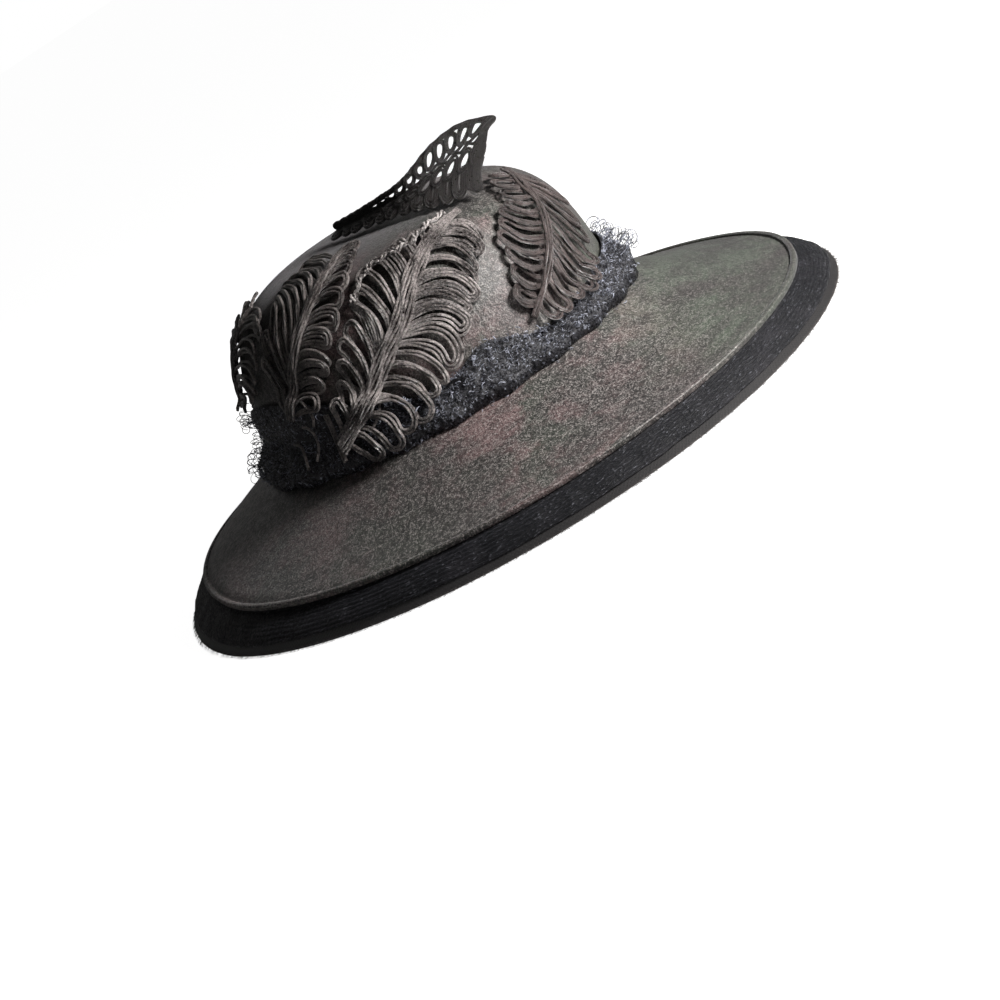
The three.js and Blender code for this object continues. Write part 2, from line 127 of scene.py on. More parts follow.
# Cords through rows of points in millimetres, swept with a round section and made a mesh.
def cordsPiece(name, paths, radius, sides=1, widths=None):
    curve = bpy.data.curves.new(name, "CURVE")
    curve.dimensions = "3D"
    curve.bevel_depth = radius * mm
    curve.bevel_resolution = sides
    curve.use_fill_caps = True
    for index, path in enumerate(paths):
        spline = curve.splines.new("POLY")
        spline.points.add(len(path) - 1)
        spline.points.foreach_set("co", np.c_[np.asarray(path) * mm, np.ones(len(path))].ravel())
        if widths is not None:
            spline.points.foreach_set("radius", np.full(len(path), widths[index]))
    piece = bpy.data.objects.new(name, curve)
    bpy.context.collection.objects.link(piece)
    pick(piece)
    bpy.ops.object.convert(target="MESH")
    return bpy.context.object


def finishWith(piece, material):
    piece.data.materials.clear()
    piece.data.materials.append(material)


# The last step of each piece: smooth, with its finish, and known to the frame.
def settle(piece, material, node=None):
    pick(piece)
    bpy.ops.object.shade_smooth()
    finishWith(piece, material)
    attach(piece, "root")
    if node:
        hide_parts(node)


# A smooth line through a few stations, read by the millimetres along it or by the station's number.
class SmoothLine:
    pointsBetween = 60  # from one station to the next
    glance = 0.5  # how far ahead and behind the heading is taken

    def __init__(self, stations):
        stations = np.asarray(stations, dtype=float)
        steps = np.linalg.norm(np.diff(stations, axis=0), axis=1) ** 0.5
        knots = np.r_[0, np.cumsum(steps)]
        ends = np.vstack([2 * stations[0] - stations[1], stations, 2 * stations[-1] - stations[-2]])
        knotEnds = np.r_[-steps[0], knots, knots[-1] + steps[-1]]
        slopes = (ends[2:] - ends[:-2]) / (knotEnds[2:] - knotEnds[:-2])[:, None]
        points = []
        for i, step in enumerate(steps):
            share = np.linspace(0, 1, self.pointsBetween, endpoint=i == len(steps) - 1)[:, None]
            leave, arrive = step * slopes[i], step * slopes[i + 1]
            points.append(smoothBetween(share, stations[i], stations[i + 1], leave, arrive))
        self.points = np.vstack(points)
        self.knots = np.linspace(0, len(stations) - 1, len(self.points))
        self.run = np.r_[0, np.cumsum(np.linalg.norm(np.diff(self.points, axis=0), axis=1))]
        self.length = self.run[-1]

    def at(self, where, marks):
        return np.stack([np.interp(where, marks, self.points[:, i]) for i in range(3)], -1)

    def read(self, along):
        here = np.clip(along, 0, self.length)
        heading = unit(self.at(here + self.glance, self.run) - self.at(here - self.glance, self.run))
        return self.at(here, self.run) + heading * (along - here)[..., None], heading

    def atKnot(self, knot):
        return self.at(knot, self.knots)

    def knotAt(self, along):
        return np.interp(along, self.run, self.knots)


crown = {
    "halfWidth": 90, "halfLength": 97, "height": 79, "setBack": 12,
    "foot": 45.5, "wall": 1.8, "planPower": 4.5, "capPower": 2.9,
}
brim = {"halfWidth": 160.5, "halfLength": 166.5, "rimHeight": 13, "wall": 1.6, "rollHeight": 2.4}
edge = {"tuck": 2.2, "drop": 1.3, "bow": 1.1, "ribbonWall": 1.2, "ribbonEnd": 0.79, "braidStart": 0.81}
net = {
    "gap": 0.6, "flap": 1.8, "rollHeight": 16,
    "slackFrom": 0.2,  # the share of the roll's height where it begins to lean in
    "cordRoom": 1.6,  # how far a cord stands off the net
    "cordSag": 3,  # how much further down the net it rests
    "comeDown": (2, 9),  # how far over the net such a cord leaves it and meets the crown
}
middle = np.array([3.2, 0, 0])  # the hat stands this far over
crownRadii = np.array([crown["halfWidth"], crown["halfLength"], crown["height"]])
crownCentre = np.array([0, crown["setBack"], crown["foot"]])

# azimuth 0 is the wearer's left, 90 the back, 270 the front
brimRows = {
    "azimuth": [0, 30, 65, 100, 135, 165, 215, 270, 320],
    "rimLift": [1.0, 3.8, 6.2, 7.0, 5.0, 1.2, 0, 0, 0],
    "reach": [9.5, 10, 13, 16, 17, 16.5, 15.5, 15.5, 13.5],
    "hemLift": [0, 0, 3.2, 5.2, 2.8, 0, 0, 0, 0],
    "fall": [1.22, 1.12, 0.98, 0.88, 0.9, 1.02, 1.32, 1.52, 1.45],
}
netRows = {
    "azimuth": [0, 45, 95, 135, 164, 184, 205, 223, 240, 257, 285, 309, 335],
    "rise": [18, 18, 20, 30, 37, 33, 22, 13, 21, 10, 14, 17, 18],
    "bulk": [8.5, 7.5, 7.5, 10.5, 12, 9.5, 8.5, 8.5, 8.5, 8, 8.5, 9.5, 9],
}


def roundTable(rows, column, azimuth):
    at = np.array(rows["azimuth"], dtype=float)
    value = np.array(rows[column], dtype=float)
    at = np.r_[at[-2:] - 360, at, at[:2] + 360]
    value = np.r_[value[-2:], value, value[:2]]
    here = np.mod(azimuth, 360)
    b = np.searchsorted(at, here, side="right") - 1
    a, c, d = b - 1, b + 1, b + 2
    span = at[c] - at[b]
    share = (here - at[b]) / span
    slopeB = (value[c] - value[a]) / (at[c] - at[a]) * span
    slopeC = (value[d] - value[b]) / (at[d] - at[b]) * span
    return smoothBetween(share, value[b], value[c], slopeB, slopeC)


def crownPoint(azimuth, rise, inset=0.0):
    turn = np.radians(azimuth)
    share = np.clip(rise, 0, 1) * math.pi / 2
    out = np.maximum(np.cos(share), 0) ** (2 / crown["planPower"])
    up = np.sin(share) ** (2 / crown["capPower"])
    return crownCentre + (crownRadii - inset) * np.stack([out * np.cos(turn), out * np.sin(turn), up], -1)


# Points drawn in or out to the crown, and the crown's normal there.
def ontoCrown(points):
    x, y, z = np.moveaxis((points - crownCentre) / crownRadii, -1, 0)
    z = np.maximum(z, 0)
    flat = np.hypot(x, y)
    low, high = np.full(flat.shape, 0.2), np.full(flat.shape, 5.0)
    for _ in range(40):  # halved until the point lies on it
        scale = (low + high) / 2
        outside = (scale * flat) ** crown["planPower"] + (scale * z) ** crown["capPower"] > 1
        high = np.where(outside, scale, high)
        low = np.where(outside, low, scale)
    plan = crown["planPower"] * (low * flat) ** (crown["planPower"] - 2) * low
    cap = crown["capPower"] * (low * z) ** (crown["capPower"] - 1)
    place = crownCentre + np.stack([low * x, low * y, low * z], -1) * crownRadii
    place[..., 2] = np.where(points[..., 2] < crown["foot"], points[..., 2], place[..., 2])
    return place, unit(np.stack([plan * x, plan * y, cap], -1) / crownRadii)


def crownWall(azimuth, z):
    up = np.clip((z - crown["foot"]) / crown["height"], 0, 0.999)
    rise = np.arcsin(up ** (crown["capPower"] / 2)) * 2 / math.pi
    return crownPoint(azimuth, rise)


def rimPoint(azimuth):
    rim = outwardAt(azimuth) * np.array([brim["halfWidth"], brim["halfLength"], 0])
    rim[..., 2] = brim["rimHeight"] + roundTable(brimRows, "rimLift", azimuth)
    return rim


def brimSheet(azimuth, across):
    foot = crownPoint(azimuth, np.zeros_like(azimuth), crown["wall"])
    rim = rimPoint(azimuth)
    drop = np.maximum(1 - across, 0) ** roundTable(brimRows, "fall", azimuth)
    place = foot + (rim - foot) * across[..., None]
    place[..., 2] = rim[..., 2] + (foot[..., 2] - rim[..., 2]) * drop
    return place


def edgeSheet(azimuth, across):
    rim = rimPoint(azimuth)
    outward = outwardAt(azimuth)
    top = rim - outward * edge["tuck"]
    top[..., 2] -= edge["drop"]
    hem = rim + outward * roundTable(brimRows, "reach", azimuth)[..., None]
    hem[..., 2] = np.maximum(roundTable(brimRows, "hemLift", azimuth), 0)
    bow = edge["bow"] * np.sin(math.pi * across)[..., None]
    place = top + (hem - top) * across[..., None] + outward * bow
    place[..., 2] += bow[..., 0]
    return place


def offSheet(sheet, azimuth, across, out):
    step = 0.002
    outward = sheet(azimuth, across + step) - sheet(azimuth, across - step)
    onward = sheet(azimuth + 1, across) - sheet(azimuth - 1, across)
    return sheet(azimuth, across) + unit(np.cross(outward, onward)) * np.asarray(out)[..., None]


# How far the net stands off the crown at a height over the crown's foot.
def netStand(azimuth, up):
    bulk = roundTable(netRows, "bulk", azimuth)
    roll = np.minimum(roundTable(netRows, "rise", azimuth), net["rollHeight"])
    slack = smoothStep(up, net["slackFrom"] * roll, roll)
    return bulk + (net["flap"] - bulk) * slack


# How far a cord on the crown is lifted where it runs over the net.
def overNet(points):
    azimuth = np.degrees(np.arctan2(points[..., 1] - crown["setBack"], points[..., 0]))
    up = np.maximum(points[..., 2] - crown["foot"], 0)
    rise = roundTable(netRows, "rise", azimuth)
    clear = smoothStep(up, rise + net["comeDown"][0], rise + net["comeDown"][1])
    return (netStand(azimuth, up - net["cordSag"]) + net["gap"] + net["cordRoom"]) * (1 - clear)


def brimHeightUnder(azimuth, stand):
    inside = crown["halfWidth"] - crown["wall"]
    across = (crown["halfWidth"] + stand - inside) / (brim["halfWidth"] - inside)
    return brimSheet(azimuth, across)[..., 2]


class Socket:
    def __init__(self, finish, socket):
        self.finish = finish
        self.socket = socket

    def __add__(self, other):
        return self.finish.maths("ADD", self, other)

    def __sub__(self, other):
        return self.finish.maths("SUBTRACT", self, other)

    def __rsub__(self, other):
        return self.finish.maths("SUBTRACT", other, self)

    def __mul__(self, other):
        return self.finish.maths("MULTIPLY", self, other)

    __radd__ = __add__
    __rmul__ = __mul__


class Finish:
    def __init__(self, name):
        self.material = bpy.data.materials.new(name)
        self.material.use_nodes = True
        self.tree = self.material.node_tree
        self.tree.nodes.clear()

    def add(self, kind, settings=None, sockets=None, output=0):
        node = self.tree.nodes.new(kind)
        for key, value in (settings or {}).items():
            setattr(node, key, value)
        for key, value in (sockets or {}).items():
            if isinstance(value, Socket):
                self.tree.links.new(value.socket, node.inputs[key])
            else:
                node.inputs[key].default_value = value
        return Socket(self, node.outputs[output]) if node.outputs else None

    def maths(self, operation, *values):
        return self.add("ShaderNodeMath", {"operation": operation}, dict(enumerate(values)))

    def objectPlace(self):
        return self.add("ShaderNodeTexCoord", output="Object")

    def parts(self, vector, count=3):
        return [self.add("ShaderNodeSeparateXYZ", None, {0: vector}, output=i) for i in range(count)]

    def uvParts(self):
        return self.parts(self.add("ShaderNodeUVMap", {"uv_map": "UVMap"}), 2)

    # the piece's UV map drawn out for a grain: so much round it, across it and into it
    def grainPlace(self, around, across, into):
        u, v = self.uvParts()
        return self.add("ShaderNodeCombineXYZ", None, {0: u * around, 1: v * across, 2: v * into})

    def noise(self, place, scale, detail=3.0, roughness=0.55):
        sockets = {"Vector": place, "Scale": scale, "Detail": detail, "Roughness": roughness}
        return self.add("ShaderNodeTexNoise", None, sockets)

    def ease(self, value, low, high, outLow=0.0, outHigh=1.0):
        sockets = {0: value, 1: low, 2: high, 3: outLow, 4: outHigh}
        return self.add("ShaderNodeMapRange", {"interpolation_type": "SMOOTHSTEP"}, sockets)

    # patches of a noise: how many to the metre, detail, roughness, and where they begin and are full
    def patches(self, place, scale, detail, roughness, low, high):
        return self.ease(self.noise(place, scale, detail, roughness), low, high)

    def mixColor(self, share, first, second):
        return self.add("ShaderNodeMix", {"data_type": "RGBA"}, {0: share, 6: first, 7: second}, output=2)

    def bump(self, height, strength, distance):
        sockets = {"Height": height, "Strength": strength, "Distance": distance}
        return self.add("ShaderNodeBump", None, sockets)

    def shader(self, sockets):
        surface = self.add("ShaderNodeBsdfPrincipled", None, sockets)
        self.add("ShaderNodeOutputMaterial", None, {"Surface": surface})
        return self.material


photo = {
    "azimuth": -40, "elevation": 12.37, "roll": -31.77, "distance": 1.244,
    "target": (0.0032, 0, 0.04785),
    "aimRight": 0.01518, "aimUp": -0.0556, "lens": 92.7,
}
turn, tilt, roll = (math.radians(photo[key]) for key in ("azimuth", "elevation", "roll"))
level = Vector((math.cos(turn), math.sin(turn), 0))  # to the right, as the camera sees the hat
towards = Vector((math.sin(turn), -math.cos(turn), 0))  # level, towards the camera
target = Vector(photo["target"])


def makeCamera():
    back = towards * math.cos(tilt) + Vector((0, 0, math.sin(tilt)))
    upright = back.cross(level)
    right = math.cos(roll) * level + math.sin(roll) * upright
    up = math.cos(roll) * upright - math.sin(roll) * level
    spot = target + back * photo["distance"]
    ahead = (-back + photo["aimRight"] * right + photo["aimUp"] * up).normalized()
    side = (right - right.dot(ahead) * ahead).normalized()
    bpy.ops.object.camera_add(location=spot)
    camera = bpy.context.object
    camera.name = "photoCamera"
    turned = Matrix((side, side.cross(ahead), -ahead)).transposed()
    camera.matrix_world = Matrix.Translation(spot) @ turned.to_4x4()
    camera.data.lens = photo["lens"]
    bpy.context.scene.camera = camera


studio = {
    # where each lamp stands from the hat: level to the right, upright, and back towards the camera
    "lamps": {
        "key": {"away": (0.71, 0.38, 0.54), "distance": 0.64, "size": 0.20, "power": 12.8},
        "sheen": {"away": (0.85, 0.42, -0.75), "distance": 1.0, "size": 0.6, "power": 0.7},
        "top": {"away": (-0.1, 1.0, 0.3), "distance": 1.6, "size": 1.2, "power": 0.25},
        "back": {"away": (-0.25, 0.5, -0.9), "distance": 1.3, "size": 1.0, "power": 0.8},
        "left": {"away": (-0.9, 0.5, 0.6), "distance": 1.7, "size": 1.0, "power": 0.2},
    },
    "warmth": (1.0, 0.978, 0.957),
    "room": {"seen": 1.0, "light": 0.045},
    "floor": {"seen": 0.96, "light": 0.08},
    "floorSize": 14, "floorDrop": 0.0002,
    "paper": ((0.48, 0.48, 0.48, 1), (0.5, 0.5, 0.5, 1)),
}


def seenOrLight(tree, strengths):
    # one strength for what the eye sees and a lower one for the light that falls on the hat
    path = tree.nodes.new("ShaderNodeLightPath")
    strength = tree.nodes.new("ShaderNodeMapRange")
    strength.inputs[3].default_value = strengths["light"]
    strength.inputs[4].default_value = strengths["seen"]
    tree.links.new(path.outputs["Is Camera Ray"], strength.inputs[0])
    return strength.outputs[0]


def makeStudio():
    for name, light in studio["lamps"].items():
        x, y, z = light["away"]
        way = (level * x + Vector((0, 0, 1)) * y + towards * z).normalized()
        bpy.ops.object.light_add(type="AREA", location=target + way * light["distance"])
        lamp = bpy.context.object
        lamp.name = f"{name}Light"
        lamp.rotation_euler = way.to_track_quat("Z", "Y").to_euler()
        lamp.data.size = light["size"]
        lamp.data.energy = light["power"]
        lamp.data.color = studio["warmth"]
    world = bpy.data.worlds.new("paleRoom")
    bpy.context.scene.world = world
    world.use_nodes = True
    tree = world.node_tree
    room = tree.nodes["Background"]
    room.inputs["Color"].default_value = (1, 1, 1, 1)
    tree.links.new(seenOrLight(tree, studio["room"]), room.inputs["Strength"])


def makeFloor():
    clearSelection()
    bpy.ops.mesh.primitive_grid_add(
        x_subdivisions=4, y_subdivisions=4, size=studio["floorSize"], location=(0, 0, -studio["floorDrop"])
    )
    floor = bpy.context.object
    floor.name = "paleFloor"
    paper = Finish("palePaper")
    material = paper.shader({
        "Base Color": paper.mixColor(paper.noise(paper.objectPlace(), 3.0), *studio["paper"]),
        "Roughness": 0.95,
        "Specular IOR Level": 0.1,
        "Emission Color": (1, 1, 1, 1),
        "Emission Strength": Socket(paper, seenOrLight(paper.tree, studio["floor"])),
    })
    finishWith(floor, material)
    floor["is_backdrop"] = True


makeCamera()
makeStudio()
makeFloor()
view = bpy.context.scene.view_settings
view.view_transform = "Standard"
view.look = "None"
print("hat: camera, floor and lights")


cloth = {
    "dark": (0.024, 0.0165, 0.018, 1),
    "warm": (0.112, 0.066, 0.067, 1),
    "green": (0.037, 0.047, 0.034, 1),
    # painted highlight: pale specks for light caught on the straw's fibre tips
    "paintedGlint": (0.205, 0.190, 0.182, 1),
    "smoke": (0.012, 0.011, 0.010, 1),
    "deep": (0.005, 0.0045, 0.0045, 1),
    "paintedCrestShade": (0.016, 0.011, 0.010, 1),  # painted shade on the bare cloth under the crest
    # to the metre, detail, roughness, and where they begin and are full
    "smokePatches": (11, 4, 0.6, 0.38, 0.58),
    "mottlePatches": (15, 5, 0.65, 0.40, 0.58),
    "warmPatches": (22, 6, 0.72, 0.44, 0.58),
    "streaks": (34, 26, 2),  # round the hat, across it and into it
    "grain": 1450,  # pebbles to the metre
    "slubs": 300,  # thick places in the straw to the metre
    "right": (0.77, 0.64),  # the share of x and of -y in the way that counts as right
    # metres to the right of the middle where a change begins and is full
    "fadeRight": (0.11, 0.03),
    # painted shade: where the straw darkens towards the left
    "darkLeft": (-0.05, -0.14),
    "calmRight": (0.13, 0.05),
    "crestShadeRight": (0.02, -0.01),
    "crestShadeHeight": (0.108, 0.118),
}


# the second argument is how much painted highlight lies on the fibre tips
def strawFinish(name, paintedGlintShare):
    straw = Finish(name)
    place = straw.objectPlace()
    x, y, height = straw.parts(place)
    rightwards = x * cloth["right"][0] - y * cloth["right"][1]
    streak = straw.patches(straw.grainPlace(*cloth["streaks"]), 1.0, 5, 0.65, 0.38, 0.62)
    smoke = straw.patches(place, *cloth["smokePatches"])
    mottle = straw.patches(place, *cloth["mottlePatches"])
    warmth = straw.patches(place, *cloth["warmPatches"])
    warmth = warmth * straw.ease(rightwards, *cloth["fadeRight"])
    # painted shade: the straw laid darker towards the left, away from the key lamp
    shade = straw.ease(rightwards, *cloth["darkLeft"])
    calm = straw.ease(rightwards, *cloth["calmRight"], 0.45, 1.0)
    # painted shade: darker, and rougher, on the crown's top under the crest, where its shadow falls
    paintedCrestShade = straw.ease(height, *cloth["crestShadeHeight"])
    paintedCrestShade = paintedCrestShade * straw.ease(rightwards, *cloth["crestShadeRight"])
    fine = straw.noise(place, cloth["grain"], 2, 0.6)
    coarse = straw.noise(place, cloth["grain"] * 0.36, 3, 0.65)
    slub = straw.noise(place, cloth["slubs"], 3, 0.65)
    # painted highlights on the fibre tips, fewer towards the right
    paintedGlint = straw.ease(fine, 0.47, 0.60) * straw.ease(coarse, 0.38, 0.58) * calm
    pit = straw.ease(fine, 0.52, 0.40) * straw.ease(coarse, 0.64, 0.42) * calm
    base = straw.mixColor(mottle * 0.8 + 0.2, cloth["dark"], cloth["green"])
    # each tone laid over the last, and how much of it
    for share, tone in (
        (warmth * 0.85, "warm"),
        ((1 - smoke) * 0.55, "smoke"),
        (streak * 0.65, "smoke"),
        (shade * 0.5, "smoke"),
        (pit * 0.95, "deep"),
        (paintedGlint * paintedGlintShare * (1 - paintedCrestShade * 0.7), "paintedGlint"),
        (paintedCrestShade * 0.6, "paintedCrestShade"),
    ):
        base = straw.mixColor(share, base, cloth[tone])
    return straw.shader({
        "Base Color": base,
        "Roughness": straw.ease(slub, 0.3, 0.7, 0.46, 0.64) + paintedCrestShade * 0.32,
        "Specular IOR Level": 0.45,
        "Sheen Weight": 0.08,
        "Sheen Roughness": 0.4,
        "Sheen Tint": (0.8, 0.8, 0.85, 1),
        "Normal": straw.bump(fine * 0.6 + coarse + slub * 0.5, 0.6, 0.0006),
    })


crownShell = {
    "around": 160, "rows": 56,
    "crowding": 2.25,  # how much closer the rows lie towards the top
    "dents": 0.5, "dentLength": 46, "seed": 3.1, "paintedGlintShare": 0.5,
}


def makeCrown():
    def place(azimuth, across):
        points = crownPoint(azimuth, 1 - (1 - across) ** crownShell["crowding"])
        _, normal = ontoCrown(points + np.array([0, 0, 1e-6]))
        dent = wander(points, crownShell["dentLength"], crownShell["seed"])
        dent = dent * crownShell["dents"] * np.minimum(1, across * 6)
        return points + normal * dent[:, None] + middle

    shell = wrappedSheet("crownShell", crownShell, place)
    thicken(shell, crown["wall"])
    settle(shell, strawFinish("crownStraw", crownShell["paintedGlintShare"]), "crown")


brimShell = {
    "around": 288, "flatRows": 26, "waves": 0.5, "waveLength": 70, "seed": 5.0,
    "flatEnd": 0.955,  # where the flat cloth ends, as a share across
    "beadMiddle": 0.980, "beadHalf": 0.020, "paintedGlintShare": 0.7,
}


def brimWave(points):
    return wander(points, brimShell["waveLength"], brimShell["seed"]) * brimShell["waves"]


# The brim's section, underside first, as rows of the share across and the height off its sheet.
def brimProfile():
    wall, flatEnd = brim["wall"], brimShell["flatEnd"]
    inner = np.linspace(0, flatEnd, brimShell["flatRows"])
    profile = [(s, 0.0) for s in inner] + [(0.985, 0.0), (1.0, 0.25)]
    for turn in np.radians(np.linspace(-35, 205, 11)):
        height = wall * 0.8 + brim["rollHeight"] * 0.5 * (0.55 + math.sin(turn) * 0.75)
        profile.append((brimShell["beadMiddle"] + brimShell["beadHalf"] * math.cos(turn), height))
    profile += [(flatEnd, wall * 0.8), (0.943, wall)] + [(s, wall) for s in inner[::-1][2:]] + [(0.0, 0.0)]
    return np.array(profile)


def makeBrim():
    profile = brimProfile()
    rows = np.arange(len(profile))

    def place(azimuth, share):
        across, out = (np.interp(share * rows[-1], rows, profile[:, i]) for i in (0, 1))
        points = offSheet(brimSheet, azimuth, across, out)
        points[:, 2] += brimWave(points) * np.minimum(across * 4, 1)
        return points + middle

    shell = wrappedSheet("brimShell", {**brimShell, "rows": rows[-1]}, place)
    settle(shell, strawFinish("brimStraw", brimShell["paintedGlintShare"]), "brim")


makeCrown()
makeBrim()
print("hat: crown and brim")


ribbonEdge = {
    "around": 720, "rows": 34, "wall": 0.8, "ribs": 8, "ribHeight": 0.42, "ribDrift": 0.35,
    "wrinkle": 0.55, "hemWave": 0.03,
    "meet": 0.6,  # how far its upper edge rises to meet the rim
    "streaks": (520, 26, 3),
    "color": (0.0022, 0.0023, 0.0032, 1),
    "wearAndPaintedLight": (0.009, 0.0085, 0.0105, 1),
    "paintedGlint": (0.075, 0.077, 0.088, 1),
}


def ribbonFinish():
    ribbon = Finish("ribbedRibbon")
    place = ribbon.objectPlace()
    pile = ribbon.noise(place, 700, 3, 0.65)
    wearAndPaintedLight = ribbon.patches(place, 60, 4, 0.55, 0.45, 0.7)
    streak = ribbon.noise(ribbon.grainPlace(*ribbonEdge["streaks"]), 1.0, 3, 0.6)
    # painted sheen: pale streaks along the ribbon for light caught by its pile
    paintedGlint = ribbon.ease(streak, 0.55, 0.68) * ribbon.ease(pile, 0.44, 0.60)
    color = ribbon.mixColor(wearAndPaintedLight * 0.6, ribbonEdge["color"], ribbonEdge["wearAndPaintedLight"])
    return ribbon.shader({
        "Base Color": ribbon.mixColor(paintedGlint * 0.9, color, ribbonEdge["paintedGlint"]),
        "Roughness": ribbon.ease(pile, 0.3, 0.7, 0.48, 0.75),
        "Specular IOR Level": 0.16,
        "Sheen Weight": 0.03,
        "Sheen Roughness": 0.35,
        "Sheen Tint": (0.65, 0.68, 0.8, 1),
        "Normal": ribbon.bump(pile * 0.6 + streak, 0.9, 0.0009),
    })


def makeRibbon():
    def place(azimuth, across):
        drift = ribbonEdge["ribDrift"] * wander(edgeSheet(azimuth, np.zeros_like(across)), 60, 7.0)
        rib = np.abs(np.sin(math.pi * ribbonEdge["ribs"] * across + drift)) ** 0.7
        share = across * edge["ribbonEnd"]
        points = edgeSheet(azimuth, share)
        wrinkle = wander(points * np.array([1, 1, 0.3]), 9, 2.0) + 0.6 * wander(points, 26, 8.0)
        hemWave = wander(edgeSheet(azimuth, np.ones_like(across)), 14, 4.0)
        share = share + across * hemWave * ribbonEdge["hemWave"]
        out = edge["ribbonWall"] + ribbonEdge["ribHeight"] * (rib - 0.6)
        out = out + ribbonEdge["wrinkle"] * wrinkle * np.minimum(across * 3, 1)
        out = out + ribbonEdge["meet"] * np.clip(1 - across * 9, 0, 1)
        points = offSheet(edgeSheet, azimuth, share, out)
        # the ribbon is sewn to the rim, so it rises and falls with the brim's own wave
        points[:, 2] += brimWave(points) * (1 - across)
        return points + middle

    ribbon = wrappedSheet("edgeRibbonRibbed", ribbonEdge, place)
    thicken(ribbon, ribbonEdge["wall"])
    settle(ribbon, ribbonFinish(), "edge_ribbon")


sheerEdge = {
    "around": 720, "rows": 8,
    "lap": 0.1,  # how far it runs up under the ribbon, as a share of the edge
    "end": 0.99, "stand": 0.35, "flutter": 0.35,
    "floor": 0.25,  # its lowest height over the floor
    "strands": 560, "crossings": 6,
    "between": (0.003, 0.003, 0.003, 1),
    "strand": (0.009, 0.008, 0.0085, 1),
    "hem": (0.022, 0.019, 0.018, 1),
}


def sheerFinish():
    sheer = Finish("sheerBraid")
    around, across = sheer.uvParts()
    lines = []
    for slant in (1, -1):
        phase = around * (sheerEdge["strands"] * 2 * math.pi)
        phase = phase + across * (slant * sheerEdge["crossings"] * math.pi)
        lines.append(sheer.ease(sheer.maths("SINE", phase), 0.1, 0.55))
    cover = sheer.maths("MAXIMUM", sheer.maths("MAXIMUM", *lines), sheer.ease(across, 0.86, 0.9))
    tone = sheer.mixColor(cover, sheerEdge["between"], sheerEdge["strand"])
    return sheer.shader({
        "Base Color": sheer.mixColor(sheer.ease(across, 0.87, 0.93), tone, sheerEdge["hem"]),
        "Roughness": 0.7,
        "Specular IOR Level": 0.2,
        "Alpha": cover * 0.02 + 0.98,
        "Normal": sheer.bump(cover, 0.5, 0.0004),
    })


def makeBraid():
    def place(azimuth, across):
        start = edge["braidStart"] - sheerEdge["lap"]
        share = start + across * (sheerEdge["end"] - start)
        flutter = wander(edgeSheet(azimuth, share), 16, 6.0)
        out = sheerEdge["stand"] + sheerEdge["flutter"] * flutter * across
        points = offSheet(edgeSheet, azimuth, share, out)
        points[:, 2] = np.maximum(points[:, 2], sheerEdge["floor"])
        return points + middle

    braid = wrappedSheet("edgeBraidSheer", sheerEdge, place)
    settle(braid, sheerFinish(), "edge_braid")


hemFibres = {
    "count": 2200, "radius": 0.06, "start": (0.93, 0.985), "length": (0.7, 2.0),
    "stand": 0.35, "lean": (-0.2, 0.7), "floor": 0.2, "seed": 23,
    "dark": (0.006, 0.005, 0.005, 1),
    "pale": (0.06, 0.052, 0.050, 1),
}


def makeHemFibres():
    rng = np.random.default_rng(hemFibres["seed"])
    paths = []
    for _ in range(hemFibres["count"]):
        azimuth = np.full(4, rng.uniform(0, 360)) + np.cumsum(rng.uniform(-0.25, 0.25, 4))
        across = rng.uniform(*hemFibres["start"])
        across = across + np.linspace(0, rng.uniform(*hemFibres["length"]), 4) / 16
        out = hemFibres["stand"] + np.linspace(0, rng.uniform(*hemFibres["lean"]), 4)
        path = offSheet(edgeSheet, azimuth, across, out)
        path[:, 2] = np.maximum(path[:, 2], hemFibres["floor"])
        paths.append(path + middle)
    fibres = cordsPiece("edgeHemFibres", paths, hemFibres["radius"], sides=0)
    fuzz = Finish("hemFuzz")
    tone = fuzz.mixColor(fuzz.noise(fuzz.objectPlace(), 400), hemFibres["dark"], hemFibres["pale"])
    settle(fibres, fuzz.shader({"Base Color": tone, "Roughness": 0.6}))


makeRibbon()
makeBraid()
makeHemFibres()
print("hat: ribbon and braid")


netBand = {
    "around": 620, "rows": 40,
    "rollFrom": 0.22,  # the shares across where the roll begins, and then the flap
    "flapFrom": 0.72,
    "low": 1.5,  # its lowest height over the crown's foot
    "gathers": 23, "gatherDepth": 0.8, "crumple": 1.25,
    "pull": 0.22,  # how far the under layer is drawn in towards the crown
    "grain": (330, 62, 3),
    "color": (0.007, 0.007, 0.010, 1),
    "glint": (0.30, 0.32, 0.38, 1),
    "shade": (0.004, 0.004, 0.006, 1),
    "shadeGlint": (0.018, 0.019, 0.026, 1),
}


def netSurface(azimuth, across, depth):
    # up the outside of the roll, then up the flap; depth pulls it in towards the crown
    low, rollFrom, flapFrom = (netBand[key] for key in ("low", "rollFrom", "flapFrom"))
    rise = roundTable(netRows, "rise", azimuth)
    roll = np.minimum(rise, net["rollHeight"]) - low
    onRoll = np.clip((across - rollFrom) / (flapFrom - rollFrom), 0, 1)
    onFlap = np.clip((across - flapFrom) / (1 - flapFrom), 0, 1)
    up = low + roll * (0.04 + 0.96 * onRoll) + (rise - roll - low) * onFlap
    gather = netBand["gatherDepth"] * np.sin(np.radians(azimuth) * netBand["gathers"] + 3 * onRoll)
    out = np.minimum(across / rollFrom, 1) * np.where(onFlap > 0.8, 1 - (onFlap - 0.8) * 2, 1)
    stand = out * (netStand(azimuth, up) + gather * (1 - onFlap)) * (1 - depth)
    points = crownWall(azimuth, crown["foot"] + up) + outwardAt(azimuth) * (net["gap"] + stand)[..., None]
    lowest = brimHeightUnder(azimuth, stand) + 1.5 * brim["wall"] + 0.6
    points[..., 2] = np.where(across < rollFrom, lowest, np.maximum(points[..., 2], lowest))
    return points


